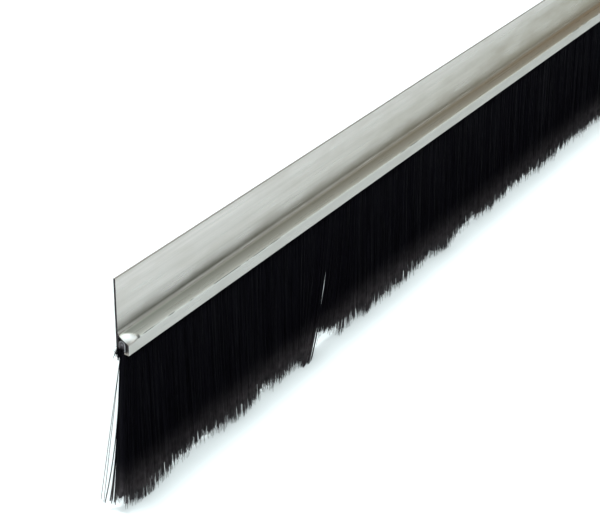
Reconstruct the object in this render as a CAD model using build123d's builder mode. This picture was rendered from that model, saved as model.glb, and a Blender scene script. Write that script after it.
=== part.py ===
from build123d import *
import os
from math import cos, atan2

# Brush strip door sweep, in millimetres.
# X runs along the strip, -Y is the front face, +Z is up.
# The origin is on the back face of the flange, half way along it, at the height of the fixing line.

# Carrier extrusion
length = 1000.0
carrier_height = 34.0
fixing_line_drop = 12.0  # from the top edge of the flange down to the origin
wall = 1.0
channel_depth = 6.4  # back face to front face
front_face_height = 5.9
shoulder_rise = 2.5  # from the front face's upper corner up to the flange
lip_height = 0.9
back_lip_reach = 0.5
front_lip_reach = 1.4
outer_round = 0.5
shoulder_foot_round = 0.5
edge_round = 0.2

# Staked ends of the channel
stake_length = 8.0
stake_down = 0.9  # how far down the front face the flat reaches
stake_back = 1.8  # how far back over the shoulder the flat reaches
stake_tip = 0.05  # size of the flat where it runs out

# Steel backing of the brush, and the wire in its fold
backing_width = 3.4
backing_height = 4.8
backing_wall = 0.5
toe_reach = 0.2
toe_height = 0.45
backing_clearance = 0.05
wire_diameter = 1.1
wire_clearance = 0.02
fold_thickness = 0.7  # filaments between the wire and the top of the backing
backing_end_inset = 0.3

# Free bristles
overall_height = 104.0
section_count = 16
section_gap = 0.3
mouth_gap = 0.3  # between the lips and the top of a section
root_thickness = 2.2
tip_thickness = 5.4
tip_round = 1.0
end_flare = 4.0  # how far the tips spread past the end of the strip

# Levels and places worked out from the sizes above
top = fixing_line_drop
mouth = top - carrier_height
tip = top - overall_height
front = -channel_depth
brush_centre = -wall - backing_clearance - backing_width / 2
front_corner = mouth + front_face_height
shoulder_top = front_corner + shoulder_rise
shoulder_slope = shoulder_rise / (channel_depth - wall)
inner_drop = wall / cos(atan2(shoulder_rise, channel_depth - wall))
inner_front = front + wall
inner_front_top = front_corner + shoulder_slope * wall - inner_drop
inner_back_top = shoulder_top - inner_drop
channel_floor = mouth + lip_height
backing_bottom = channel_floor + backing_clearance
backing_top = backing_bottom + backing_height
fold_width = backing_width - 2 * backing_wall - 2 * backing_clearance
fold_top = backing_top - backing_wall - backing_clearance
neck_width = backing_width - 2 * backing_wall - 2 * toe_reach - 2 * backing_clearance
neck_top = backing_bottom + toe_height + backing_clearance
wire_level = fold_top - fold_thickness - wire_diameter / 2
backing_length = length - 2 * backing_end_inset
hinge_level = mouth - mouth_gap - root_thickness / 2
section_length = length / section_count

carrier_end = Plane.YZ.offset(-length / 2)
backing_end = Plane.YZ.offset(-backing_length / 2)


def arch(width, bottom, arch_top):
    """A face with straight sides and a half-round top, centred on the brush."""
    left = brush_centre - width / 2
    right = brush_centre + width / 2
    spring = arch_top - width / 2
    with BuildSketch() as shape:
        with BuildLine():
            Line((left, bottom), (left, spring))
            ThreePointArc((left, spring), (brush_centre, arch_top), (right, spring))
            Line((right, spring), (right, bottom))
            Line((right, bottom), (left, bottom))
        make_face()
    return shape.sketch


def stake_flat(size):
    """The triangle pressed off the channel's front corner, at one place along a stake."""
    down = stake_down * size
    back = stake_back * size
    with BuildSketch() as shape:
        with BuildLine():
            Polyline(
                (front - outer_round, front_corner + outer_round),
                (front - outer_round, front_corner - down - outer_round),
                (front, front_corner - down),
                (front + back, front_corner + shoulder_slope * back),
                (front + back, front_corner + shoulder_slope * back + outer_round),
                close=True,
            )
        make_face()
    return shape.sketch


# Carrier: one section, extruded along the strip
with BuildPart() as carrier:
    with BuildSketch(carrier_end) as carrier_section:
        with BuildLine():
            Polyline(
                (0, top),
                (-wall, top),
                (-wall, shoulder_top),
                (front, front_corner),
                (front, mouth),
                (inner_front + front_lip_reach, mouth),
                (inner_front + front_lip_reach, channel_floor),
                (inner_front, channel_floor),
                (inner_front, inner_front_top),
                (-wall, inner_back_top),
                (-wall, channel_floor),
                (-wall - back_lip_reach, channel_floor),
                (-wall - back_lip_reach, mouth),
                (0, mouth),
                close=True,
            )
        make_face()
        corners = carrier_section.vertices()
        front_corners = corners.filter_by_position(Axis.X, front, front)
        fillet(front_corners.sort_by(Axis.Y)[-1], outer_round)
        foot = carrier_section.vertices().filter_by_position(Axis.Y, shoulder_top, shoulder_top)
        fillet(foot, shoulder_foot_round)
        edge_corners = carrier_section.vertices().filter_by_position(Axis.Y, top, top)
        edge_corners += carrier_section.vertices().filter_by_position(Axis.Y, mouth, mouth)
        fillet(edge_corners, edge_round)
    extrude(amount=length)
    # The stakes: the corner between shoulder and front face is pressed flat at both ends
    for direction in (-1, 1):
        with BuildSketch(Plane.YZ.offset(direction * length / 2)):
            add(stake_flat(1))
        with BuildSketch(Plane.YZ.offset(direction * (length / 2 - stake_length))):
            add(stake_flat(stake_tip))
        loft(mode=Mode.SUBTRACT)

carrier.part.label = "carrier"
export_step(carrier.part, "parts/carrier.step")

# Brush backing: the steel strip rolled into a U, its edges turned in as toes
with BuildPart() as brush_backing:
    with BuildSketch(backing_end):
        add(arch(backing_width, backing_bottom, backing_top))
        hollow = arch(backing_width - 2 * backing_wall, backing_bottom, backing_top - backing_wall)
        add(hollow, mode=Mode.SUBTRACT)
        toe_offset = (backing_width - toe_reach) / 2 - backing_wall
        for side in (-1, 1):
            with Locations((brush_centre + side * toe_offset, backing_bottom + toe_height / 2)):
                Rectangle(toe_reach, toe_height)
    extrude(amount=backing_length)

brush_backing.part.label = "brush_backing"
export_step(brush_backing.part, "parts/brush_backing.step")

# Core wire: in the fold of the backing
with BuildPart() as core_wire:
    with BuildSketch(backing_end):
        with Locations((brush_centre, wire_level)):
            Circle(wire_diameter / 2)
    extrude(amount=backing_length)

core_wire.part.label = "core_wire"
export_step(core_wire.part, "parts/core_wire.step")

# Bristle roots: the filaments doubled over the wire and gripped by the backing, down to the mouth
with BuildPart() as bristle_roots:
    with BuildSketch(backing_end):
        add(arch(fold_width, neck_top, fold_top))
        with Locations((brush_centre, (mouth + neck_top) / 2)):
            Rectangle(neck_width, neck_top - mouth)
        with Locations((brush_centre, wire_level)):
            Circle(wire_diameter / 2 + wire_clearance, mode=Mode.SUBTRACT)
    extrude(amount=backing_length)

bristle_roots.part.label = "bristle_roots"
export_step(bristle_roots.part, "parts/bristle_roots.step")


def bristle_section(start, end, start_flare, end_flare):
    """One length of the bristle curtain, from start to end along X, with its tips flared."""
    with BuildPart() as section:
        # Side view: a half-round top about the hinge line, spreading to the tips
        with BuildSketch(Plane.YZ.offset(start - start_flare)) as side_view:
            with BuildLine():
                root = root_thickness / 2
                spread = tip_thickness / 2
                left_tip = (brush_centre - spread, tip)
                right_tip = (brush_centre + spread, tip)
                left_root = (brush_centre - root, hinge_level)
                right_root = (brush_centre + root, hinge_level)
                crown = (brush_centre, hinge_level + root)
                ThreePointArc(left_root, crown, right_root)
                Polyline(right_root, right_tip, left_tip, left_root)
            make_face()
            fillet(side_view.vertices().filter_by_position(Axis.Y, tip, tip), tip_round)
        extrude(amount=end + end_flare - start + start_flare)
        # Front view: upright sides between sections, flared ones at the ends of the strip
        with BuildSketch(Plane.XZ):
            with BuildLine():
                Polyline(
                    (start, mouth),
                    (end, mouth),
                    (end, hinge_level),
                    (end + end_flare, tip),
                    (start - start_flare, tip),
                    (start, hinge_level),
                    close=True,
                )
            make_face()
        extrude(amount=channel_depth, both=True, mode=Mode.INTERSECT)
    return section.part


# Bristle sections: one row of them along the strip
for index in range(section_count):
    section_start = -length / 2 + index * section_length + section_gap / 2
    section_end = section_start + section_length - section_gap
    first = index == 0
    last = index == section_count - 1
    bristles = bristle_section(
        section_start,
        section_end,
        end_flare if first else 0,
        end_flare if last else 0,
    )
    bristles.label = f"bristles_{index + 1:02d}"
    export_step(bristles, f"parts/{bristles.label}.step")
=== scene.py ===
import math

import bpy
import numpy as np
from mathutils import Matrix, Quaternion, Vector


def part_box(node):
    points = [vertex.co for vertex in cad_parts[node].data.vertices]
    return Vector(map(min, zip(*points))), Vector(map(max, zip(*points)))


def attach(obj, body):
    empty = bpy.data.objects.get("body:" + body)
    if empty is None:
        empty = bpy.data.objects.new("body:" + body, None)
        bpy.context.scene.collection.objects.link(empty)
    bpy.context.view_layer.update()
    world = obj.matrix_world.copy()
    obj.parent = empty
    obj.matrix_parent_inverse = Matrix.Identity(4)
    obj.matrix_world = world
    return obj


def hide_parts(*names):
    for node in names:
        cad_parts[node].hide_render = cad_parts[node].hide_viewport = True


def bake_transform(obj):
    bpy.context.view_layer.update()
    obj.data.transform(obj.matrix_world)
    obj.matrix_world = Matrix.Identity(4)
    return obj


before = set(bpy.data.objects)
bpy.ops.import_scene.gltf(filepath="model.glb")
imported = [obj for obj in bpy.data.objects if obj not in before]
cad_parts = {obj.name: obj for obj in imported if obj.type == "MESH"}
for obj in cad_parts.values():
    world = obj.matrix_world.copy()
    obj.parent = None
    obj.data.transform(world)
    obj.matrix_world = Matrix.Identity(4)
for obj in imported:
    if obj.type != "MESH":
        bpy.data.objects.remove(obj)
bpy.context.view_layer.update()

# Brush strip door sweep. X runs along the strip, -Y is the front face, +Z is up. Metres throughout.
MM = 0.001

# ---------------------------------------------------------------- sizes
carrier_low, carrier_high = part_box("carrier")
backing_low, backing_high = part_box("brush_backing")
first_low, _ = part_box("bristles_01")

STRIP_START = carrier_low.x
STRIP_END = carrier_high.x
STRIP_LENGTH = STRIP_END - STRIP_START
STRIP_MIDDLE = (STRIP_START + STRIP_END) / 2
BACK = carrier_high.y
FRONT = carrier_low.y
TOP = carrier_high.z
MOUTH = carrier_low.z
TIPS = first_low.z
BRUSH_CENTRE = (backing_low.y + backing_high.y) / 2
SECTIONS = len([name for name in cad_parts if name.startswith("bristles_")])
SECTION_LENGTH = STRIP_LENGTH / SECTIONS

# Carrier section, as in the CAD
WALL = 1.0 * MM
FRONT_FACE_HEIGHT = 5.9 * MM
SHOULDER_RISE = 2.5 * MM
LIP_HEIGHT = 0.9 * MM
BACK_LIP_REACH = 0.5 * MM
FRONT_LIP_REACH = 1.4 * MM
FOOT_ROUND = 1.6 * MM  # the soft inside corner where the shoulder meets the flange
CORNER_ROUND = 0.9 * MM
EDGE_ROUND = 0.15 * MM
END_BREAK = 0.07 * MM  # the tiny chamfer round a sawn end
ARC_STEPS = 6
LONGEST_RUN = 0.45 * MM  # straight runs of the section are divided into pieces no longer than this
SMOOTH_ANGLE = 22  # degrees, above which an edge stays sharp

FRONT_CORNER = MOUTH + FRONT_FACE_HEIGHT
SHOULDER_TOP = FRONT_CORNER + SHOULDER_RISE
SHOULDER_DEPTH = -WALL - FRONT
SHOULDER_SLOPE = SHOULDER_RISE / SHOULDER_DEPTH
INNER_DROP = WALL * math.hypot(SHOULDER_DEPTH, SHOULDER_RISE) / SHOULDER_DEPTH

# Stakes: the channel's shoulder is pressed down against the brush at each end
STAKE_LENGTH = 7.2 * MM
STAKE_DEPTH = 0.85 * MM  # how far down the front corner is pressed at the very end
STAKE_FOOT = 0.3 * MM  # the press stops this far in front of the flange
STAKE_BOW = 0.32  # how far the facet's edge bows up into the shoulder, as a share of its width

# Bristles
FILAMENTS_PER_SECTION = 2300
FILAMENT_RADIUS = 0.10 * MM
FILAMENT_SIDES = 3
FILAMENT_RINGS = 10  # how many rings of points a filament has, to bend smoothly
STRAY_SIDES = 6
STRAY_RINGS = 18
FIBRE_SIDES = 4
FIBRE_RINGS = 5
TUBE_TWIST = 2.4  # radians from one tube's corners to the next one's
ROOT_HALF = 1.05 * MM  # half the thickness of the brush in the mouth
TIP_SPREAD = 2.1 * MM  # how much that half thickness grows at the tips
END_FLARE = STRIP_START - first_low.x + 2.4 * MM  # how far the tips lean out past the end of the strip
END_FADE = 7 * MM  # how far from the end that lean fades
ROOT_LIFT = 0.9 * MM  # how far the free filaments reach up between the lips
MEAN_TIP = TIPS + 0.1 * MM
MEAN_LENGTH = MOUTH + ROOT_LIFT - MEAN_TIP
FLOOR_GAP = 6 * MM  # the floor is this far under the CAD's tips
TIP_CLEARANCE = 0.4 * MM  # and the longest tips stay this far above it
TIP_EASE = 0.5 * MM  # how gently the lengths are limited for that
CLUMP = 0.95 * MM  # bristles hang together in clumps about this wide
BROAD_CLUMP = 3.1 * CLUMP  # and those in broader ones
CLUMP_PULL = 0.4  # how far a bristle's tip is drawn to the middle of its clump
CLUMP_WANDER = 0.35  # how unevenly clumps are spaced, as a share of their width
CLUMP_RHYTHM = 1.7  # radians by which that unevenness goes on from one clump to the next
FRONT_LAYER = -1
BACK_LAYER = 1
MIDDLE_LAYER = 0
LAYERS = (FRONT_LAYER, BACK_LAYER, MIDDLE_LAYER)
LAYER_SHARES = (0.42, 0.36, 0.22)  # how many of the filaments are in each layer
REACHING_SHARE = 0.40  # how many filaments reach past their neighbours
SHORT_SHARE = 0.12  # how many are shorter
MISSED_SHARE = 0.03  # and how many the trimming missed
CUT_TAPER = 0.6  # how thin a filament's cut end is, as a share of its thickness
HEART_ROWS = np.array([0.0, 0.1, 0.22, 0.36, 0.5, 0.64, 0.76, 0.86, 0.94, 1.0])  # shares of its height
HEART_FILL = 0.74  # how much of the brush's thickness the packed middle takes up
HEART_FILL_LOW = 0.60  # and how much of it near the tips
HEART_LOW = 0.9  # the share of its height at which that starts
HEART_EDGE = 0.15 * MM  # half its thickness at its lower edge
HEART_SHORT = 1.2 * MM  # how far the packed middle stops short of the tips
HEART_COLUMN = 0.35 * MM  # the width of its columns of faces
HEART_GAP = 0.45 * MM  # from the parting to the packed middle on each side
HEART_INSET = 0.06 * MM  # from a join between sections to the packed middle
END_FIBRES = 110  # how many cut fibres stick out at each end
PARTING = STRIP_START + 159 * MM
PARTING_SLANT = 1.88  # how far the parting runs along the strip for each unit of its thickness
PARTING_LEAN = 13 * MM  # how far the bristles beside the parting lean towards the near end
PARTING_REACH = 22 * MM  # how far from the parting they lean
PARTING_OPEN = 0.42 * MM  # how far each side of it is pushed away
PARTING_START = 0.38  # the share of the bristles' length at which it begins to open
PARTING_RISE = 0.2  # and over what share it opens
PINCH = 0.8  # how far crossed bristles close it again
PINCH_PLACE = 0.78  # and at what share of their length
PINCH_REACH = 0.08
PUSH_FADE = 1.6 * MM  # how far from the parting the push dies away
PARTING_CALM = 2.0 * MM  # how near the parting the bristles keep to its line
JOIN_CALM = 1.3 * MM  # how near a join between sections the bristles hang straight
JOIN_REACH = 12 * MM  # and how near a join the lean of the parting fades
STRAY_OUT = 4.6 * MM  # how far out and back a clinging stray lies until it leaves the brush
STRAY_BACK = 2.6 * MM
LONE_HAIR = 1.2  # a lone stray's thickness, as a multiple of a filament's
CLINGING_HAIR = 1.7  # and a clinging one's
FIBRE_CURL = 1.9  # radians by which a cut fibre curls
FIBRE_SUNK = 0.25 * MM  # how far inside the channel it starts
SEED = 41
FINE_SEED = SEED + 11  # for the clumps, to which a layer's number is added
BROAD_SEED = SEED + 31
FIBRE_SEED = SEED + 90


# ---------------------------------------------------------------- node helpers
def new_shader(name):
    """A new node material, with its tree and its Principled shader."""
    material = bpy.data.materials.new(name)
    material.use_nodes = True
    return material, material.node_tree, material.node_tree.nodes["Principled BSDF"]


def feed(tree, socket, value):
    """Links a socket to another node's output, or sets it to a constant."""
    if isinstance(value, bpy.types.NodeSocket):
        tree.links.new(value, socket)
    else:
        socket.default_value = value


def stretched_noise(tree, scale, detail=3.0, offset=(0, 0, 0)):
    """Noise in the object's own space, with its own scale along each axis, from 0 to 1."""
    coordinates = tree.nodes.new("ShaderNodeTexCoord")
    mapping = tree.nodes.new("ShaderNodeMapping")
    mapping.inputs["Scale"].default_value = scale
    mapping.inputs["Location"].default_value = offset
    tree.links.new(coordinates.outputs["Object"], mapping.inputs["Vector"])
    noise = tree.nodes.new("ShaderNodeTexNoise")
    noise.inputs["Scale"].default_value = 1.0
    noise.inputs["Detail"].default_value = detail
    noise.inputs["Roughness"].default_value = 0.55
    tree.links.new(mapping.outputs["Vector"], noise.inputs["Vector"])
    return noise.outputs["Fac"]


def remap(tree, value, low, high, to_low, to_high):
    """Value from low..high to to_low..to_high, clamped."""
    node = tree.nodes.new("ShaderNodeMapRange")
    feed(tree, node.inputs["Value"], value)
    feed(tree, node.inputs["From Min"], low)
    feed(tree, node.inputs["From Max"], high)
    feed(tree, node.inputs["To Min"], to_low)
    feed(tree, node.inputs["To Max"], to_high)
    return node.outputs["Result"]


def math_node(tree, operation, a, b=0.0):
    """One arithmetic step on two values."""
    node = tree.nodes.new("ShaderNodeMath")
    node.operation = operation
    feed(tree, node.inputs[0], a)
    feed(tree, node.inputs[1], b)
    return node.outputs[0]


def product(tree, *values):
    """Several values multiplied together."""
    total = values[0]
    for value in values[1:]:
        total = math_node(tree, "MULTIPLY", total, value)
    return total


def mix_colours(tree, factor, a, b):
    """Colour a where factor is 0, colour b where it is 1."""
    node = tree.nodes.new("ShaderNodeMix")
    node.data_type = "RGBA"
    feed(tree, node.inputs[0], factor)
    feed(tree, node.inputs[6], a)
    feed(tree, node.inputs[7], b)
    return node.outputs[2]


def bump(tree, shader, height, strength, distance):
    """Relief on the shader's normal, from a height value and its depth in metres."""
    node = tree.nodes.new("ShaderNodeBump")
    node.inputs["Strength"].default_value = strength
    node.inputs["Distance"].default_value = distance
    feed(tree, node.inputs["Height"], height)
    tree.links.new(node.outputs["Normal"], shader.inputs["Normal"])


def place_axis(tree, axis):
    """One coordinate of the point being shaded, in the object's own space."""
    coordinates = tree.nodes.new("ShaderNodeTexCoord")
    split = tree.nodes.new("ShaderNodeSeparateXYZ")
    tree.links.new(coordinates.outputs["Object"], split.inputs["Vector"])
    return split.outputs[axis]


def from_middle(tree, x):
    """The distance from the middle of the strip."""
    return math_node(tree, "ABSOLUTE", math_node(tree, "SUBTRACT", x, STRIP_MIDDLE))


# ---------------------------------------------------------------- colours
METAL_DARK = (0.45, 0.425, 0.40, 1)
METAL_PALE = (0.56, 0.525, 0.50, 1)
PIT = (0.35, 0.345, 0.33, 1)
OXIDE = (0.43, 0.40, 0.355, 1)
# painted shade for the inside corner under the flange
CORNER_PAINTED_SHADE = (0.085, 0.080, 0.062, 1)
# a darker, browner tint towards the strip's middle, then its lower, browner part
MIDDLE_TINT = (0.25, 0.222, 0.168, 1)
MIDDLE_TINT_LOW = (0.20, 0.16, 0.105, 1)
# painted shade at the shoulder's foot and painted light at its front corner, near the ends and towards the
# middle
FOOT_PAINTED_SHADE = (0.34, 0.39, 0.345, 1)
FOOT_PAINTED_SHADE_MIDDLE = (0.50, 0.38, 0.25, 1)
CORNER_PAINTED_LIGHT = (0.88, 0.92, 0.87, 1)
CORNER_PAINTED_LIGHT_MIDDLE = (0.68, 0.64, 0.53, 1)
# pale, bluish painted highlight on the stake's sunk facet
STAKE_FACET_PAINTED_HIGHLIGHT = (0.80, 0.87, 0.88, 1)
# painted shade just under the front corner, which tones down its highlight
CORNER_HIGHLIGHT_DIMMING = (0.30, 0.305, 0.29, 1)
# dark marks along the front corner and at each stake's burr
DARK_MARK = (0.08, 0.08, 0.075, 1)
# painted shade: the sawn end is painted nearly black, as if in shadow
SAWN_SHADE_DARK = (0.010, 0.007, 0.009, 1)
SAWN_SHADE_PALE = (0.026, 0.020, 0.024, 1)
SAWN_GRIME = (0.20, 0.17, 0.175, 1)
SAWN_LIP_PALE = (0.26, 0.235, 0.215, 1)
ZINC_PALE = (0.30, 0.295, 0.31, 1)
ZINC_DARK = (0.15, 0.145, 0.155, 1)
WIRE_DARK = (0.10, 0.095, 0.10, 1)
WIRE_PALE = (0.17, 0.165, 0.17, 1)
NYLON_DARK = (0.0002, 0.0001, 0.0006, 1)
NYLON_PALE = (0.0028, 0.0025, 0.0046, 1)
# painted light: the paler grey of the lit tips
NYLON_TIP_PAINTED_LIGHT = (0.125, 0.112, 0.118, 1)
NYLON_CUT = (0.085, 0.078, 0.086, 1)
FLOOR_DARK = (0.775, 0.865, 0.885, 1)
FLOOR_PALE = (0.79, 0.875, 0.895, 1)
WALL_DIM = (0.20, 0.198, 0.178, 1)
WALL_BRIGHT = (0.85, 0.86, 0.85, 1)


# ---------------------------------------------------------------- materials
def metal_grain(tree):
    """The extrusion's own pattern: lines from the die, blotches of oxide, and a mask of small pits."""
    bands = stretched_noise(tree, (3, 420, 420), detail=2.0)
    lines = stretched_noise(tree, (9, 2600, 2600), detail=3.0, offset=(5, 3, 1))
    blotches = stretched_noise(tree, (45, 160, 160), detail=4.0, offset=(2, 7, 4))
    pits = stretched_noise(tree, (1500, 1900, 1900), detail=1.0, offset=(1, 2, 9))
    both = math_node(tree, "ADD", product(tree, bands, 0.5), product(tree, lines, 0.5))
    streaks = remap(tree, both, 0.35, 0.65, 0.0, 1.0)
    return lines, streaks, blotches, remap(tree, pits, 0.70, 0.78, 0.0, 0.55)


def painted_shoulder_light(tree, x, y):
    """The channel's shoulder: painted shade at its foot, painted light at its front corner, browner towards
    the middle of the strip.
    """
    towards_middle = remap(tree, x, STRIP_START, STRIP_START + 0.45, 0.0, 1.0)
    past_middle = remap(tree, x, STRIP_START + 0.55, STRIP_START + 0.80, 1.0, 0.4)
    middle_share = math_node(tree, "MINIMUM", towards_middle, past_middle)
    foot = mix_colours(tree, middle_share, FOOT_PAINTED_SHADE, FOOT_PAINTED_SHADE_MIDDLE)
    corner = mix_colours(tree, middle_share, CORNER_PAINTED_LIGHT, CORNER_PAINTED_LIGHT_MIDDLE)
    forward = remap(tree, y, -WALL, FRONT, 0.0, 1.0)
    return mix_colours(tree, math_node(tree, "POWER", forward, 1.4), foot, corner)


def stake_facet_highlight(tree, x, y, level):
    """Where a stake has sunk the shoulder, which rubs the metal clean; it is also painted pale and bluish
    there, as a painted highlight.
    """
    level_at_flange = SHOULDER_TOP + SHOULDER_SLOPE * WALL
    plane = math_node(tree, "ADD", product(tree, y, SHOULDER_SLOPE), level_at_flange)
    sunk = remap(tree, math_node(tree, "SUBTRACT", plane, level), 0.04 * MM, 0.22 * MM, 0.0, 0.85)
    run_out = STRIP_LENGTH / 2 - STAKE_LENGTH
    at_stake = remap(tree, from_middle(tree, x), run_out, run_out + 1.5 * MM, 0.0, 1.0)
    off_foot = remap(tree, y, -WALL - 0.9 * MM, -WALL - 2.5 * MM, 0.0, 1.0)
    return product(tree, sunk, at_stake, off_foot)


def corner_dark_marks(tree, x, level):
    """Where dark marks lie: in dashes along the front corner, and at the burr where each stake runs out."""
    from_corner = math_node(tree, "ABSOLUTE", math_node(tree, "SUBTRACT", level, FRONT_CORNER - 0.2 * MM))
    at_corner = remap(tree, from_corner, 0.08 * MM, 0.28 * MM, 1.0, 0.0)
    patches = stretched_noise(tree, (85, 30, 30), detail=1.0, offset=(3, 3, 3))
    dashes = remap(tree, patches, 0.54, 0.62, 0.0, 0.8)
    clear_of_stake = remap(tree, x, STRIP_START + 9 * MM, STRIP_START + 11 * MM, 0.0, 1.0)
    run_out = STRIP_LENGTH / 2 - STAKE_LENGTH + 0.2 * MM
    from_run_out = math_node(tree, "ABSOLUTE", math_node(tree, "SUBTRACT", from_middle(tree, x), run_out))
    burr = remap(tree, from_run_out, 0.4 * MM, 1.0 * MM, 0.85, 0.0)
    near_corner = remap(tree, from_corner, 0.4 * MM, 0.9 * MM, 1.0, 0.0)
    dashed_corner = product(tree, at_corner, dashes, clear_of_stake)
    return math_node(tree, "MAXIMUM", dashed_corner, product(tree, burr, near_corner))


def mill_aluminium():
    """Extruded aluminium as it leaves the die, a stock length: browner towards its middle, with dark marks
    along its front corner, and with painted shade, painted light and a painted highlight on its inside corner,
    shoulder and front corner.
    """
    material, tree, shader = new_shader("mill_aluminium")
    x, y, level = [place_axis(tree, axis) for axis in "XYZ"]
    lines, streaks, blotches, pit_mask = metal_grain(tree)
    colour = mix_colours(tree, streaks, METAL_DARK, METAL_PALE)
    colour = mix_colours(tree, pit_mask, colour, PIT)
    colour = mix_colours(tree, remap(tree, blotches, 0.50, 0.72, 0.0, 0.35), colour, OXIDE)
    # Painted shade: the flange's lower part darkens towards the inside corner over the shoulder's foot,
    # standing in for the darker shoulder it reflects. The back stays free of it
    front_side = remap(tree, y, BACK - 0.3 * WALL, BACK - 0.7 * WALL, 0.0, 1.0)
    uneven = remap(tree, blotches, 0.3, 0.7, 0.72, 1.0)
    over_foot = remap(tree, level, SHOULDER_TOP + 10.5 * MM, SHOULDER_TOP + 1.8 * MM, 0.0, 1.0)
    past_foot = remap(tree, level, SHOULDER_TOP - 0.2 * MM, SHOULDER_TOP + 1.7 * MM, 0.0, 1.0)
    painted_corner_shade = product(tree, math_node(tree, "POWER", over_foot, 1.5), past_foot, uneven, front_side)
    colour = mix_colours(tree, painted_corner_shade, colour, CORNER_PAINTED_SHADE)
    # The metal turns darker and browner from near the start of the strip to its middle, browner still low down
    middle_tint = product(
        tree,
        remap(tree, x, STRIP_START + 0.05, STRIP_START + 0.50, 0.0, 1.1),
        uneven,
        remap(tree, level, TOP - 1 * MM, TOP - 12 * MM, 0.25, 1.0),
        remap(tree, front_side, 0.0, 1.0, 0.5, 1.0),
        remap(tree, level, FRONT_CORNER, FRONT_CORNER + 1 * MM, 0.3, 1.0),
    )
    colour = mix_colours(tree, middle_tint, colour, MIDDLE_TINT)
    low = remap(tree, level, SHOULDER_TOP + 7 * MM, SHOULDER_TOP + 0.5 * MM, 0.0, 0.55)
    colour = mix_colours(tree, product(tree, middle_tint, low, front_side), colour, MIDDLE_TINT_LOW)
    # The shoulder, with painted shade at its foot and painted light at its corner, then painted shade on the
    # front face just under the corner, which tones its highlight down
    off_flange = remap(tree, y, -WALL - 0.05 * MM, -WALL - 0.8 * MM, 0.0, 1.0)
    over_corner = remap(tree, level, FRONT_CORNER - 0.9 * MM, FRONT_CORNER, 0.0, 1.0)
    on_shoulder = product(tree, off_flange, over_corner, remap(tree, streaks, 0.0, 1.0, 0.78, 0.98))
    colour = mix_colours(tree, on_shoulder, colour, painted_shoulder_light(tree, x, y))
    # Painted highlight: the stake's sunk facet is painted pale and bluish
    pressed = product(tree, on_shoulder, stake_facet_highlight(tree, x, y, level))
    colour = mix_colours(tree, pressed, colour, STAKE_FACET_PAINTED_HIGHLIGHT)
    # Painted shade on the front face just under its corner, which tones down the corner's highlight
    under_corner_dimming = remap(tree, level, FRONT_CORNER + 0.1 * MM, FRONT_CORNER - 0.7 * MM, 0.0, 0.42)
    colour = mix_colours(tree, product(tree, under_corner_dimming, front_side), colour, CORNER_HIGHLIGHT_DIMMING)
    dark_marks = product(tree, corner_dark_marks(tree, x, level), front_side)
    colour = mix_colours(tree, dark_marks, colour, DARK_MARK)
    feed(tree, shader.inputs["Base Color"], colour)
    shader.inputs["Metallic"].default_value = 1.0
    drawn = remap(tree, lines, 0.3, 0.7, 0.24, 0.36)
    rough = math_node(tree, "ADD", drawn, remap(tree, blotches, 0.4, 0.7, 0.0, 0.08))
    feed(tree, shader.inputs["Roughness"], rough)
    relief = math_node(tree, "SUBTRACT", lines, product(tree, pit_mask, 0.6))
    bump(tree, shader, relief, 0.35, 0.03 * MM)
    shader.inputs["Anisotropic"].default_value = 0.6
    shader.inputs["Anisotropic Rotation"].default_value = 0.25
    tangent = tree.nodes.new("ShaderNodeTangent")
    tangent.direction_type = "UV_MAP"
    tangent.uv_map = "along"
    tree.links.new(tangent.outputs["Tangent"], shader.inputs["Tangent"])
    return material


def sawn_aluminium():
    """The cut end of the extrusion: painted nearly black as painted shade, since it faces away from the light,
    with upright saw marks, and paler at its bottom lip.
    """
    material, tree, shader = new_shader("sawn_aluminium")
    marks = stretched_noise(tree, (900, 5200, 900), detail=3.0)
    grime = stretched_noise(tree, (900, 900, 900), detail=3.0, offset=(4, 1, 6))
    colour = mix_colours(tree, remap(tree, marks, 0.35, 0.65, 0, 1), SAWN_SHADE_DARK, SAWN_SHADE_PALE)
    colour = mix_colours(tree, remap(tree, grime, 0.60, 0.75, 0, 0.6), colour, SAWN_GRIME)
    near_lip = remap(tree, place_axis(tree, "Z"), MOUTH + 1.9 * MM, MOUTH + 0.9 * MM, 0.0, 0.9)
    colour = mix_colours(tree, near_lip, colour, SAWN_LIP_PALE)
    feed(tree, shader.inputs["Base Color"], colour)
    shader.inputs["Metallic"].default_value = 0.3
    feed(tree, shader.inputs["Roughness"], remap(tree, marks, 0.3, 0.7, 0.5, 0.7))
    shader.inputs["Specular IOR Level"].default_value = 0.25
    bump(tree, shader, marks, 0.5, 0.04 * MM)
    return material


def galvanised_steel():
    """Rolled galvanised strip: dull grey with a fine spangle."""
    material, tree, shader = new_shader("galvanised_steel")
    coordinates = tree.nodes.new("ShaderNodeTexCoord")
    cells = tree.nodes.new("ShaderNodeTexVoronoi")
    cells.inputs["Scale"].default_value = 900.0
    tree.links.new(coordinates.outputs["Object"], cells.inputs["Vector"])
    grain = stretched_noise(tree, (1500, 1500, 1500), detail=3.0)
    crystals = product(tree, cells.outputs["Distance"], 0.7)
    spangle = math_node(tree, "ADD", crystals, product(tree, grain, 0.5))
    colour = mix_colours(tree, remap(tree, spangle, 0.3, 0.9, 0, 1), ZINC_PALE, ZINC_DARK)
    feed(tree, shader.inputs["Base Color"], colour)
    shader.inputs["Metallic"].default_value = 0.9
    feed(tree, shader.inputs["Roughness"], remap(tree, spangle, 0.3, 0.9, 0.40, 0.58))
    bump(tree, shader, grain, 0.3, 0.03 * MM)
    return material


def drawn_wire():
    """Drawn steel wire: fine lines along it."""
    material, tree, shader = new_shader("drawn_wire")
    lines = stretched_noise(tree, (60, 4000, 4000), detail=2.0)
    colour = mix_colours(tree, remap(tree, lines, 0.35, 0.65, 0, 1), WIRE_DARK, WIRE_PALE)
    feed(tree, shader.inputs["Base Color"], colour)
    shader.inputs["Metallic"].default_value = 1.0
    feed(tree, shader.inputs["Roughness"], remap(tree, lines, 0.3, 0.7, 0.28, 0.42))
    bump(tree, shader, lines, 0.3, 0.02 * MM)
    return material


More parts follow.
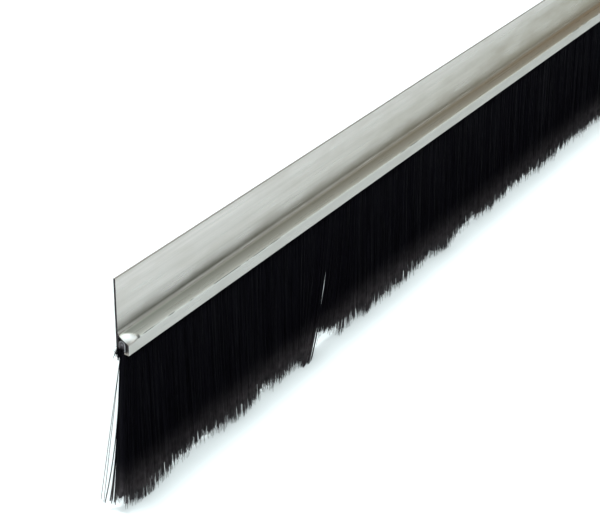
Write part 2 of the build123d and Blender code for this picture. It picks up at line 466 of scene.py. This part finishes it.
def black_nylon():
    """Black nylon filament: nearly black, each strand a little different, painted paler towards the cut tips
    as painted light from the floor.
    """
    material, tree, shader = new_shader("black_nylon")
    strands = stretched_noise(tree, (2600, 2600, 30), detail=2.0)
    along = stretched_noise(tree, (300, 300, 420), detail=2.0, offset=(7, 1, 2))
    level = place_axis(tree, "Z")
    tip_share = math_node(tree, "POWER", remap(tree, level, TIPS + 22 * MM, TIPS, 0.0, 1.0), 2.2)
    colour = mix_colours(tree, remap(tree, strands, 0.3, 0.7, 0, 1), NYLON_DARK, NYLON_PALE)
    # Painted light: the tips are painted paler, as if lit from the floor
    colour = mix_colours(tree, product(tree, tip_share, along), colour, NYLON_TIP_PAINTED_LIGHT)
    # Ends that the saw cut through, inside the channel
    from_centre = from_middle(tree, place_axis(tree, "X"))
    half_length = STRIP_LENGTH / 2
    at_end = remap(tree, from_centre, half_length - 2.2 * MM, half_length - 1.4 * MM, 0.0, 1.0)
    inside = remap(tree, level, MOUTH + 1.6 * MM, MOUTH + 3.6 * MM, 0.0, 1.0)
    cut = product(tree, at_end, inside, remap(tree, strands, 0.35, 0.65, 0.4, 1.0))
    colour = mix_colours(tree, cut, colour, NYLON_CUT)
    feed(tree, shader.inputs["Base Color"], colour)
    feed(tree, shader.inputs["Roughness"], remap(tree, strands, 0.3, 0.7, 0.38, 0.55))
    shader.inputs["Specular IOR Level"].default_value = 0.02
    bump(tree, shader, along, 0.2, 0.02 * MM)
    return material


def pale_floor():
    """A plain pale floor, with only a trace of unevenness."""
    material, tree, shader = new_shader("pale_floor")
    cloud = stretched_noise(tree, (2, 2, 2), detail=2.0)
    colour = mix_colours(tree, cloud, FLOOR_DARK, FLOOR_PALE)
    feed(tree, shader.inputs["Base Color"], colour)
    shader.inputs["Roughness"].default_value = 0.6
    shader.inputs["Specular IOR Level"].default_value = 0.2
    return material


ALUMINIUM = mill_aluminium()
SAWN = sawn_aluminium()
STEEL = galvanised_steel()
WIRE = drawn_wire()
NYLON = black_nylon()


# ---------------------------------------------------------------- mesh helpers
def make_object(name, points, faces, materials, face_materials=None, smooth_angle=None):
    """A mesh object from points and blocks of faces, each an array of corner numbers.

    Faces less than smooth_angle degrees apart are smoothed together; with no angle, all of them are.
    """
    mesh = bpy.data.meshes.new(name)
    corners = np.concatenate([block.ravel() for block in faces]).astype(np.int32)
    totals = np.concatenate([np.full(len(block), block.shape[1]) for block in faces]).astype(np.int32)
    starts = np.concatenate([[0], np.cumsum(totals)[:-1]]).astype(np.int32)
    mesh.vertices.add(len(points))
    mesh.vertices.foreach_set("co", np.asarray(points, np.float32).ravel())
    mesh.loops.add(len(corners))
    mesh.loops.foreach_set("vertex_index", corners)
    mesh.polygons.add(len(totals))
    mesh.polygons.foreach_set("loop_start", starts)
    mesh.polygons.foreach_set("loop_total", totals)
    for material in materials:
        mesh.materials.append(material)
    if face_materials is not None:
        mesh.polygons.foreach_set("material_index", np.asarray(face_materials, np.int32))
    mesh.update(calc_edges=True)
    mesh.validate()
    mesh.shade_smooth()
    if smooth_angle is not None:
        mesh.set_sharp_from_angle(angle=math.radians(smooth_angle))
    piece = bpy.data.objects.new(name, mesh)
    bpy.context.scene.collection.objects.link(piece)
    return piece


def round_corner(before, corner, after, radius):
    """The points of an arc that rounds one corner of an outline."""
    corner = np.array(corner, float)
    to_before = np.array(before, float) - corner
    to_after = np.array(after, float) - corner
    to_before /= np.linalg.norm(to_before)
    to_after /= np.linalg.norm(to_after)
    half = math.acos(np.clip(to_before @ to_after, -1, 1)) / 2
    middle = (to_before + to_after) / np.linalg.norm(to_before + to_after)
    centre = corner + middle * radius / math.sin(half)
    start = corner + to_before * radius / math.tan(half) - centre
    end = corner + to_after * radius / math.tan(half) - centre
    turn = math.atan2(start[0] * end[1] - start[1] * end[0], start @ end)
    angles = np.linspace(0, turn, ARC_STEPS + 1)
    across = np.array([-start[1], start[0]])
    return [tuple(centre + (start * math.cos(angle) + across * math.sin(angle))) for angle in angles]


def rounded_outline(corners):
    """A closed outline from (y, z, radius) corners. A radius of 0 keeps the corner sharp."""
    outline = []
    for index, (y, z, radius) in enumerate(corners):
        before = corners[index - 1][:2]
        after = corners[(index + 1) % len(corners)][:2]
        outline += round_corner(before, (y, z), after, radius) if radius else [(y, z)]
    return np.array(outline)


# ---------------------------------------------------------------- carrier
def carrier_outline():
    """The section of the extrusion, from the top of its back, round the front, to the bottom of its back."""
    inner_front = FRONT + WALL
    floor = MOUTH + LIP_HEIGHT
    inner_front_top = FRONT_CORNER + SHOULDER_SLOPE * WALL - INNER_DROP
    inner_back_top = SHOULDER_TOP - INNER_DROP
    return rounded_outline([
        (BACK, TOP, EDGE_ROUND),
        (-WALL, TOP, EDGE_ROUND),
        (-WALL, SHOULDER_TOP, FOOT_ROUND),
        (FRONT, FRONT_CORNER, CORNER_ROUND),
        (FRONT, MOUTH, EDGE_ROUND),
        (inner_front + FRONT_LIP_REACH, MOUTH, EDGE_ROUND),
        (inner_front + FRONT_LIP_REACH, floor, EDGE_ROUND),
        (inner_front, floor, EDGE_ROUND),
        (inner_front, inner_front_top, EDGE_ROUND),
        (-WALL, inner_back_top, EDGE_ROUND),
        (-WALL, floor, EDGE_ROUND),
        (-WALL - BACK_LIP_REACH, floor, EDGE_ROUND),
        (-WALL - BACK_LIP_REACH, MOUTH, EDGE_ROUND),
        (BACK, MOUTH, EDGE_ROUND),
    ])


def densified(outline, longest):
    """The outline with its long straight runs divided, so that it can be dented."""
    points = []
    for index, point in enumerate(outline):
        following = outline[(index + 1) % len(outline)]
        parts = max(1, math.ceil(np.linalg.norm(following - point) / longest))
        points += [point + (following - point) * k / parts for k in range(parts)]
    return np.array(points)


def squeeze(outline, from_end):
    """The section at some distance from the strip's end, with the stake pressed into the shoulder.

    The stake is one slightly dished facet. It starts at the flange's foot at the very end, and runs out over
    the front corner.
    """
    y = outline[:, 0]
    z = outline[:, 1]
    forward = np.clip((-WALL - STAKE_FOOT - y) / (SHOULDER_DEPTH - STAKE_FOOT), 0, 1)
    inward = from_end / STAKE_LENGTH
    bow = STAKE_BOW * np.sin(math.pi * np.clip((forward + inward) / 2, 0, 1))
    into_facet = np.clip((forward - inward + bow) / (1 + STAKE_BOW), 0, 1)
    press = STAKE_DEPTH * into_facet * (2.4 - 1.4 * into_facet)
    under_shoulder = SHOULDER_TOP + SHOULDER_SLOPE * (y + WALL) - z
    on_top = under_shoulder < 0.5 * WALL
    on_front = (y < FRONT + 0.3 * WALL) & ~on_top
    down_the_front = np.clip((z - MOUTH) / FRONT_FACE_HEIGHT, 0, 1)
    share = np.where(on_top, 1.0, np.where(on_front, down_the_front, 0.0))
    share = np.where(y > -WALL - STAKE_FOOT, 0.0, share)
    return np.stack([y, z - press * share], axis=1)


def carrier_stations():
    """Distances from the strip's start at which the section is set: close together at the stakes."""
    near = np.concatenate([
        [0, END_BREAK, 0.3 * MM],
        np.arange(0.8 * MM, STAKE_LENGTH, 0.6 * MM),
        [STAKE_LENGTH, STAKE_LENGTH + 1 * MM, STAKE_LENGTH + 4 * MM],
    ])
    middle = np.linspace(0.02, STRIP_LENGTH - 0.02, 49)
    return np.concatenate([near, middle, STRIP_LENGTH - near[::-1]])


def make_carrier():
    """The whole extrusion, staked at both ends, with sawn faces."""
    outline = densified(carrier_outline(), LONGEST_RUN)
    edges = np.roll(outline, -1, axis=0) - np.roll(outline, 1, axis=0)
    inward = np.stack([-edges[:, 1], edges[:, 0]], axis=1)
    inward /= np.linalg.norm(inward, axis=1)[:, None]
    stations = carrier_stations()
    count = len(outline)
    points = []
    for place in stations:
        from_end = min(place, STRIP_LENGTH - place)
        section = squeeze(outline, from_end)
        if from_end == 0:
            section = section + inward * END_BREAK
        points += [(STRIP_START + place, y, z) for y, z in section]
    index = np.arange(count)
    following = (index + 1) % count
    rows = np.arange(len(stations) - 1)[:, None] * count
    corners = [rows + index, rows + following, rows + following + count, rows + index + count]
    walls = np.stack(corners, axis=-1)
    last = (len(stations) - 1) * count
    ends = np.stack([index[::-1], last + index])
    sawn_rows = np.zeros((len(stations) - 1, count), int)
    sawn_rows[[0, -1]] = 1
    face_materials = [*sawn_rows.ravel(), 1, 1]
    faces = [walls.reshape(-1, 4), ends]
    metals = [ALUMINIUM, SAWN]
    piece = make_object("carrier_extrusion", points, faces, metals, face_materials, SMOOTH_ANGLE)
    lay_uv(piece, outline)
    return piece


def lay_uv(piece, outline):
    """A map whose U runs along the strip, so that the metal's grain follows it."""
    layer = piece.data.uv_layers.new(name="along")
    places = np.empty(len(piece.data.vertices) * 3)
    piece.data.vertices.foreach_get("co", places)
    places = places.reshape(-1, 3)
    corners = np.empty(len(piece.data.loops), np.int32)
    piece.data.loops.foreach_get("vertex_index", corners)
    round_the_section = np.arange(len(places)) % len(outline)
    u = (places[corners, 0] - STRIP_START) / STRIP_LENGTH
    v = round_the_section[corners] / len(outline)
    layer.data.foreach_set("uv", np.stack([u, v], axis=1).ravel().astype(np.float32))


# ---------------------------------------------------------------- filaments
def tube_mesh(paths, radii, sides):
    """Closed thin tubes, as points and lists of faces. paths is (tubes, rings, 3), radii (tubes, rings)."""
    tubes, rings, _ = paths.shape
    angles = np.arange(sides) * 2 * math.pi / sides
    twist = np.arange(tubes)[:, None] * TUBE_TWIST
    circle = np.stack([np.cos(angles + twist), np.sin(angles + twist), np.zeros((tubes, sides))], axis=-1)
    points = paths[:, :, None, :] + radii[:, :, None, None] * circle[:, None, :, :]
    first = (np.arange(tubes) * rings * sides)[:, None, None]
    ring = (np.arange(rings - 1) * sides)[None, :, None]
    side = np.arange(sides)[None, None, :]
    following = (side + 1) % sides
    a = first + ring + side
    b = first + ring + following
    walls = np.stack([a, b, b + sides, a + sides], axis=-1)[..., ::-1].reshape(-1, 4)
    top = (np.arange(tubes) * rings * sides)[:, None] + np.arange(sides)[None, :]
    bottom = (top + (rings - 1) * sides)[:, ::-1]
    return points.reshape(-1, 3), [walls, np.concatenate([top, bottom])]


def smooth_wave(place, wavelengths, size, rng):
    """A smooth wandering curve along the strip: a few sines with seeded phases."""
    total = np.zeros_like(place)
    for wavelength in wavelengths:
        total += np.sin(place * 2 * math.pi / wavelength + rng.uniform(0, 2 * math.pi))
    return total * size / math.sqrt(len(wavelengths))


# How the trimmed edge wanders, in mm: place from the near end, half width, and how much longer bristles are
EDGE_FEATURES = [
    (9.5, 5.5, 6.0),
    (20, 6, 1.6),
    (42, 20, -1.2),
    (84, 14, 2.4),
    (98, 5, -2.8),
    (117, 6, 1.2),
    (136, 6, -1.0),
    (153, 9, 5.6),
    (178, 6, 2.4),
    (193, 5, 3.2),
    (222, 24, 1.3),
    (255, 8, -1.4),
    (275, 8, 2.6),
    (302, 10, -2.0),
    (370, 24, -1.2),
    (445, 30, -1.2),
    (640, 30, 0.8),
    (760, 25, -0.9),
    (905, 22, 0.7),
]
LONG_WAVES = (0.061, 0.037, 0.023)  # the wavelengths of the edge's slow wandering
LONG_WAVE_SIZE = 0.35 * MM
SHORT_WAVES = (0.0091, 0.0067, 0.0043)  # and of its fine unevenness
SHORT_WAVE_SIZE = 0.40 * MM
PARTING_STEP = 11.5 * MM  # how much shorter the bristles are just past the parting
PARTING_FADE = 9 * MM


def trimmed_length(place):
    """How much longer or shorter than the mean the bristles are trimmed, along the strip."""
    rng = np.random.default_rng(SEED)
    extra = smooth_wave(place, LONG_WAVES, LONG_WAVE_SIZE, rng)
    extra += smooth_wave(place, SHORT_WAVES, SHORT_WAVE_SIZE, rng)
    for centre, half_width, longer in EDGE_FEATURES:
        extra += longer * MM * np.exp(-(((place - STRIP_START) / MM - centre) / half_width) ** 2)
    past = place - PARTING
    extra -= np.where(past > 0, PARTING_STEP * np.exp(-np.clip(past, 0, None) / PARTING_FADE), 0)
    return extra


def kept_off_floor(longer):
    """The same lengths, eased so that no tip goes through the floor."""
    room = MEAN_TIP - TIPS + FLOOR_GAP - TIP_CLEARANCE
    return room - TIP_EASE * np.log1p(np.exp((room - longer) / TIP_EASE))


def brush_half(share):
    """Half the thickness of the brush at a share of its length."""
    return ROOT_HALF + TIP_SPREAD * share**1.2


def smooth_step(value):
    """Rises smoothly from 0 to 1 as the value does."""
    t = np.clip(value, 0, 1)
    return t * t * (3 - 2 * t)


def beside_parting(place, distance):
    """How much a bristle belongs to the parting: 1 at it, 0 far from it and at a join between sections."""
    within = (place - STRIP_START) % SECTION_LENGTH
    clear_of_joins = smooth_step(within / JOIN_REACH) * smooth_step((SECTION_LENGTH - within) / JOIN_REACH)
    return np.exp(-((distance / PARTING_REACH) ** 2)) * clear_of_joins


def set_of_brush(place, distance, share):
    """How far the bristles lean along the strip: out past its two ends, and back beside the parting."""
    start_side = np.exp(-(place - STRIP_START) / END_FADE)
    end_side = np.exp(-(STRIP_END - place) / END_FADE)
    out_past_ends = END_FLARE * (end_side - start_side) * share**1.05
    return out_past_ends - PARTING_LEAN * beside_parting(place, distance) * share**2


def parting_push(distance, share):
    """How far bristles are pushed away from the parting, which opens some way below the mouth."""
    opened = smooth_step((share - PARTING_START) / PARTING_RISE)
    pinched = PINCH * np.exp(-(((share - PINCH_PLACE) / PINCH_REACH) ** 2))
    opening = PARTING_OPEN * opened * (1 - pinched)
    return np.sign(distance) * opening * np.exp(-np.abs(distance) / PUSH_FADE)


def clump_traits(place, gap, seed):
    """Four normal traits shared by the bristles of one clump, and the place of the clump's middle."""
    table = np.random.default_rng(seed).normal(0, 1, (int(STRIP_LENGTH / gap) + 8, 4))
    wandering = place - STRIP_START + CLUMP_WANDER * gap * np.sin(place / gap * CLUMP_RHYTHM + seed)
    index = np.clip(np.floor(wandering / gap).astype(int) + 2, 0, len(table) - 1)
    return table[index], STRIP_START + (index - 1.5) * gap


def scattered(start, end, rng):
    """Where each filament of a section stands: along the strip, in which layer, and how deep in the brush."""
    count = FILAMENTS_PER_SECTION
    place = start + (np.arange(count) + rng.uniform(0, 1, count)) / count * (end - start)
    layer = rng.choice(LAYERS, count, p=LAYER_SHARES)
    inside = rng.uniform(-0.8, 0.8, count)
    depth = np.where(layer == MIDDLE_LAYER, inside, layer * rng.uniform(0.72, 1.0, count))
    return place, layer, depth


def clumped(place, layer):
    """The traits of each filament's narrow clump and of its broad one, and the middle of the narrow one."""
    fine = np.empty((len(place), 4))
    broad = np.empty((len(place), 4))
    middle = np.empty(len(place))
    for value in LAYERS:
        chosen = layer == value
        fine[chosen], middle[chosen] = clump_traits(place[chosen], CLUMP, FINE_SEED + value)
        broad[chosen], _ = clump_traits(place[chosen], BROAD_CLUMP, BROAD_SEED + value)
    return fine, broad, middle


def cut_lengths(place, fine, broad, rng):
    """How much longer than the mean each filament is: with its clumps, by itself, or missed by the trim."""
    count = len(place)
    uneven = fine[:, 2] * 0.36 + broad[:, 2] * 0.35 + rng.normal(0, 0.36, count)
    longer = trimmed_length(place) + uneven * MM
    reaching = rng.uniform(0, 1, count) < REACHING_SHARE
    longer += np.where(reaching, rng.exponential(1.3, count).clip(0, 4.2) * MM, 0)
    short = rng.uniform(0, 1, count) < SHORT_SHARE
    longer -= np.where(short, rng.uniform(0.3, 3.0, count) * MM, 0)
    missed = (rng.uniform(0, 1, count) < MISSED_SHARE) & (longer < -2 * MM)
    return np.where(missed, rng.uniform(-1.5, 1.0, count) * MM, longer)


def freedom_from_joins(place, start, end):
    """How freely each filament wanders: not at all at a join between sections, fully away from one."""
    from_start = place - start if start > STRIP_START + MM else np.full(len(place), SECTION_LENGTH)
    from_end = end - place if end < STRIP_END - MM else np.full(len(place), SECTION_LENGTH)
    return 1 - np.exp(-((np.minimum(from_start, from_end) / JOIN_CALM) ** 2))


def filament_paths(start, end, rng):
    """The filaments of one section: (filaments, rings, 3), and their radii."""
    count = FILAMENTS_PER_SECTION
    place, layer, depth = scattered(start, end, rng)
    fine, broad, middle = clumped(place, layer)
    lean_along = (fine[:, 0] * 0.45 + broad[:, 0] * 0.35 + rng.normal(0, 0.22, count)) * MM
    lean_along += (middle - place) * CLUMP_PULL
    lean_across = (fine[:, 1] * 0.30 + rng.normal(0, 0.25, count)) * MM
    bow = (rng.normal(0, 0.22, count) + fine[:, 3] * 0.2) * MM
    length = MEAN_LENGTH + kept_off_floor(cut_lengths(place, fine, broad, rng))
    share = np.linspace(0, 1, FILAMENT_RINGS)[None, :]
    fallen = length[:, None] * share / MEAN_LENGTH
    # The parting runs aslant through the brush, so bristles beside it splay as the brush thickens
    distance = (place - PARTING - PARTING_SLANT * depth * ROOT_HALF)[:, None]
    thickened = brush_half(fallen) - ROOT_HALF
    splay = PARTING_SLANT * depth[:, None] * thickened * beside_parting(place[:, None], distance)
    wander = lean_along[:, None] * share**1.5 + bow[:, None] * np.sin(math.pi * share)
    calm = 1 - np.exp(-((distance / PARTING_CALM) ** 2))
    x = place[:, None] + wander * calm * freedom_from_joins(place, start, end)[:, None] + splay
    x = x + set_of_brush(place[:, None], distance, fallen) + parting_push(distance, fallen)
    y = BRUSH_CENTRE + depth[:, None] * brush_half(fallen) + lean_across[:, None] * calm * share**1.5
    z = MOUTH + ROOT_LIFT - length[:, None] * share
    # No filament leaves its section, except at the strip's own ends
    margin = FILAMENT_RADIUS * 0.95
    if start > STRIP_START + MM:
        x = np.maximum(x, start + margin)
    if end < STRIP_END - MM:
        x = np.minimum(x, end - margin)
    radius = FILAMENT_RADIUS * rng.uniform(0.85, 1.1, count)
    return np.stack([x, y, z], axis=-1), radius[:, None] * np.where(share > 0.99, CUT_TAPER, 1.0)


# ---------------------------------------------------------------- the packed middle of the brush
def heart_faces(columns):
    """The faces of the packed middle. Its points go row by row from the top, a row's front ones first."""
    last = len(HEART_ROWS) - 1
    column = np.arange(columns)

    def at(row, side, place_in_row):
        return (row * 2 + side) * (columns + 1) + place_in_row

    quads = []
    for row in range(last):
        for side, here, there in ((0, column, column + 1), (1, column + 1, column)):
            upper = (at(row, side, here), at(row, side, there))
            lower = (at(row + 1, side, here), at(row + 1, side, there))
            quads.append(np.stack((upper[0], lower[0], lower[1], upper[1]), axis=1))
        for side, end in ((1, 0), (0, columns)):
            upper = (at(row, side, end), at(row, 1 - side, end))
            lower = (at(row + 1, side, end), at(row + 1, 1 - side, end))
            quads.append(np.array([(upper[0], lower[0], lower[1], upper[1])]))
    above = (at(0, 0, column), at(0, 0, column + 1), at(0, 1, column + 1), at(0, 1, column))
    below = (at(last, 1, column), at(last, 1, column + 1), at(last, 0, column + 1), at(last, 0, column))
    quads += [np.stack(above, axis=1), np.stack(below, axis=1)]
    return np.concatenate(quads)


def heart_mesh(start, end, rng):
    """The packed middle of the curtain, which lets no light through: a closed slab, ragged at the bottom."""
    columns = max(6, int((end - start) / HEART_COLUMN))
    place = start + (end - start) * np.linspace(0, 1, columns + 1)
    distance = place - PARTING
    traits, _ = clump_traits(place, CLUMP, FINE_SEED + FRONT_LAYER)
    shorter = HEART_SHORT + (np.abs(rng.normal(0, 0.35, columns + 1)) - 0.35 * traits[:, 2]) * MM
    drop = MEAN_LENGTH + kept_off_floor(trimmed_length(place) - shorter)
    ripple = rng.normal(0, 0.06 * MM, (2, columns + 1))
    sway = rng.normal(0, 0.15 * HEART_COLUMN, columns + 1)
    sway[[0, -1]] = 0
    points = []
    for share in HEART_ROWS:
        fill = HEART_FILL if share < HEART_LOW else HEART_FILL_LOW
        half = brush_half(share) * fill if share < 1 else HEART_EDGE
        for outward, uneven in zip((-1, 1), ripple):
            y = outward * (half + (uneven if 0 < share < 1 else 0))
            x = place + PARTING_SLANT * y * beside_parting(place, distance) * (share > 0)
            x = x + set_of_brush(place, distance, drop * share / MEAN_LENGTH) + sway * share
            z = MOUTH + ROOT_LIFT - drop * share
            points.append(np.stack(np.broadcast_arrays(x, BRUSH_CENTRE + y, z), axis=-1))
    return np.concatenate(points), [heart_faces(columns)]


# Strays at the near end: how far the tip goes out past the end and how far back, in mm, its level above the
# CAD's tips, how late the bristle leaves the brush (1 is straight away), and how many there are
STRAYS = [
    (9.9, 6.8, 0.0, 1.0, 1),
    (9.3, 6.0, -0.4, 1.0, 1),
    (9.0, 5.4, -0.6, 2.6, 3),
    (6.9, 4.6, -1.0, 3.0, 2),
    (6.6, 4.2, -1.6, 2.6, 2),
    (6.2, 4.3, -2.2, 2.0, 2),
    (5.7, 3.9, -1.8, 2.6, 2),
    (5.2, 3.5, -2.8, 3.0, 2),
    (4.6, 3.3, -3.4, 2.4, 2),
    (4.1, 3.0, -1.8, 2.8, 3),
]


def stray_paths(rng):
    """A few loose bristles that splay out past the near end, some of them clinging together."""
    share = np.linspace(0, 1, STRAY_RINGS)
    beside = (STRIP_START - STRAY_OUT, BRUSH_CENTRE + STRAY_BACK)
    paths = []
    thickness = []
    for out, back, above, lateness, hairs in STRAYS:
        late = share**lateness
        for _ in range(hairs):
            root_x = STRIP_START + rng.uniform(-0.2, 0.3) * MM
            root_y = BRUSH_CENTRE + rng.uniform(0.5, 0.9) * MM
            root = np.array([root_x, root_y, MOUTH + ROOT_LIFT])
            tip = np.array([STRIP_START - out * MM, BRUSH_CENTRE + back * MM, TIPS + above * MM])
            tip += rng.normal(0, 0.16, 3) * MM * (1, 1, 4)
            path = root + (tip - root) * share[:, None]
            for axis in (0, 1):
                with_brush = (beside[axis] - root[axis]) * (share - late)
                path[:, axis] = root[axis] + with_brush + (tip[axis] - root[axis]) * late
            paths.append(path)
            thickness.append(LONE_HAIR if lateness == 1 else CLINGING_HAIR)
    radii = FILAMENT_RADIUS * np.array(thickness)[:, None] * np.ones((1, STRAY_RINGS))
    return np.array(paths), radii


def fibre_paths(end, outward, count, rng):
    """Short cut fibres that stick out of the channel's end, round the backing."""
    share = np.linspace(0, 1, FIBRE_RINGS)[None, :]
    root_y = BRUSH_CENTRE + rng.uniform(0.0, 2.3, count) * MM
    root_z = MOUTH + rng.uniform(-0.6, 2.2, count) * MM
    out = rng.exponential(0.7, count).clip(0.15, 2.6) * MM
    back = rng.exponential(0.5, count).clip(0, 2.2) * MM
    fall = rng.uniform(-0.6, 3.6, count) * MM
    x = end + outward * (out[:, None] * np.sin(share * FIBRE_CURL) - FIBRE_SUNK)
    y = root_y[:, None] + back[:, None] * share
    z = root_z[:, None] - fall[:, None] * share**1.7
    taper = np.linspace(1, CUT_TAPER, FIBRE_RINGS)[None, :]
    radii = FILAMENT_RADIUS * rng.uniform(1.1, 1.8, count)[:, None] * taper
    return np.stack([x, y, z], axis=-1), radii


def make_end_fibres():
    """The cut fibres at both ends. They sit in the channel, so they ride with the strip."""
    rng = np.random.default_rng(FIBRE_SEED)
    for name, end, outward in (("end_fibres_near", STRIP_START, -1), ("end_fibres_far", STRIP_END, 1)):
        paths, radii = fibre_paths(end, outward, END_FIBRES, rng)
        points, faces = tube_mesh(paths, radii, FIBRE_SIDES)
        piece = make_object(name, points, faces, [NYLON])
        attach(piece, "strip")


def joined(meshes):
    """Several (points, face lists) as one."""
    points = []
    faces = []
    offset = 0
    for part_points, part_faces in meshes:
        points.append(part_points)
        faces += [block + offset for block in part_faces]
        offset += len(part_points)
    return np.concatenate(points), faces


def make_section(number):
    """One section of the bristle curtain: its packed middle and its filaments."""
    rng = np.random.default_rng(SEED + number)
    start = STRIP_START + (number - 1) * SECTION_LENGTH
    end = start + SECTION_LENGTH
    if start < PARTING < end:
        meshes = [
            heart_mesh(start + HEART_INSET, PARTING - HEART_GAP, rng),
            heart_mesh(PARTING + HEART_GAP, end - HEART_INSET, rng),
        ]
    else:
        meshes = [heart_mesh(start + HEART_INSET, end - HEART_INSET, rng)]
    meshes.append(tube_mesh(*filament_paths(start, end, rng), FILAMENT_SIDES))
    if number == 1:
        meshes.append(tube_mesh(*stray_paths(rng), STRAY_SIDES))
    points, faces = joined(meshes)
    piece = make_object(f"bristle_section_{number:02d}", points, faces, [NYLON])
    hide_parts(f"bristles_{number:02d}")
    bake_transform(piece)


# ---------------------------------------------------------------- building
carrier = make_carrier()
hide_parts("carrier")
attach(carrier, "strip")

for node, material in (("brush_backing", STEEL), ("core_wire", WIRE), ("bristle_roots", NYLON)):
    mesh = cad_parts[node].data
    mesh.materials.clear()
    mesh.materials.append(material)

for number in range(1, SECTIONS + 1):
    make_section(number)
make_end_fibres()


# ---------------------------------------------------------------- floor, light and camera
FLOOR_HALF = 14.0


def make_floor():
    """A wide plain floor just under the tips."""
    corners = ((-1, -1), (1, -1), (1, 1), (-1, 1))
    points = [(x * FLOOR_HALF, y * FLOOR_HALF, TIPS - FLOOR_GAP) for x, y in corners]
    floor = make_object("floor", points, [np.array([(0, 1, 2, 3)])], [pale_floor()])


# The direction of the bright walls, then where each light is, how wide it is and how strong
BRIGHT_WALL = (-0.45, 0.89, 0.0)
WALL_FADE = (-0.8, 0.45)  # the walls go from dim to bright between these
KEY_FROM = (-1.3, -1.2, 1.85)
KEY_WIDTH = math.radians(27)
KEY_STRENGTH = 2.05
OVERHEAD_FROM = (0.0, 0.14, 2.6)
OVERHEAD_WIDTH = math.radians(9.2)
OVERHEAD_STRENGTH = 1.7
FILL_FROM = (1.47, -1.1, 0.80)
FILL_WIDTH = math.radians(36)
FILL_STRENGTH = 0.12
SPARK_PLACE = (0.25, -0.70, 1.08)
SPARK_SIDE = 0.3
SPARK_POWER = 1.8


def distant_light(name, direction, width, strength):
    """A soft light from far away, the same all over the floor, from a direction."""
    data = bpy.data.lights.new(name, "SUN")
    data.angle = width
    data.energy = strength
    light = bpy.data.objects.new(name, data)
    light.location = direction
    light.rotation_euler = Vector(direction).to_track_quat("Z", "Y").to_euler()
    bpy.context.scene.collection.objects.link(light)


def square_light(name, place, target, side, power):
    """A soft square light at a place, turned to a target."""
    data = bpy.data.lights.new(name, "AREA")
    data.shape = "SQUARE"
    data.size = side
    data.energy = power
    light = bpy.data.objects.new(name, data)
    light.location = place
    light.rotation_euler = (Vector(place) - Vector(target)).to_track_quat("Z", "Y").to_euler()
    bpy.context.scene.collection.objects.link(light)


def light_scene():
    """Plain soft studio light: walls bright behind the strip and dim in front of it, and four soft lights."""
    world = bpy.data.worlds.new("studio")
    world.use_nodes = True
    tree = world.node_tree
    coordinates = tree.nodes.new("ShaderNodeTexCoord")
    towards = tree.nodes.new("ShaderNodeVectorMath")
    towards.operation = "DOT_PRODUCT"
    towards.inputs[1].default_value = BRIGHT_WALL
    tree.links.new(coordinates.outputs["Generated"], towards.inputs[0])
    level = remap(tree, towards.outputs["Value"], *WALL_FADE, 0.0, 1.0)
    feed(tree, tree.nodes["Background"].inputs["Color"], mix_colours(tree, level, WALL_DIM, WALL_BRIGHT))
    bpy.context.scene.world = world
    distant_light("key", KEY_FROM, KEY_WIDTH, KEY_STRENGTH)
    distant_light("overhead", OVERHEAD_FROM, OVERHEAD_WIDTH, OVERHEAD_STRENGTH)
    distant_light("fill", FILL_FROM, FILL_WIDTH, FILL_STRENGTH)
    square_light("spark", SPARK_PLACE, (STRIP_START, FRONT, FRONT_CORNER), SPARK_SIDE, SPARK_POWER)


# The camera's direction, roll and lens
VIEW_AZIMUTH = math.radians(-57.42)
VIEW_ELEVATION = math.radians(29.09)
VIEW_ROLL = math.radians(0.91)
VIEW_LENS = 97.6
# Where the flange's near top corner lies from it: ahead, to the right and up
CORNER_AHEAD = 0.6408
CORNER_RIGHT = -0.0729
CORNER_UP = -0.0058


def make_camera():
    """The camera looks down along the strip from beyond its near end."""
    back = Vector((
        math.sin(VIEW_AZIMUTH) * math.cos(VIEW_ELEVATION),
        -math.cos(VIEW_AZIMUTH) * math.cos(VIEW_ELEVATION),
        math.sin(VIEW_ELEVATION),
    ))
    turn = (-back).to_track_quat("-Z", "Y") @ Quaternion((0, 0, 1), VIEW_ROLL)
    corner = Vector((STRIP_START, -WALL, TOP))
    data = bpy.data.cameras.new("camera")
    data.lens = VIEW_LENS
    camera = bpy.data.objects.new("camera", data)
    camera.rotation_mode = "QUATERNION"
    camera.rotation_quaternion = turn
    camera.location = corner - turn @ Vector((CORNER_RIGHT, CORNER_UP, -CORNER_AHEAD))
    bpy.context.scene.collection.objects.link(camera)
    bpy.context.scene.camera = camera


make_floor()
light_scene()
make_camera()
bpy.context.scene.view_settings.view_transform = "Standard"
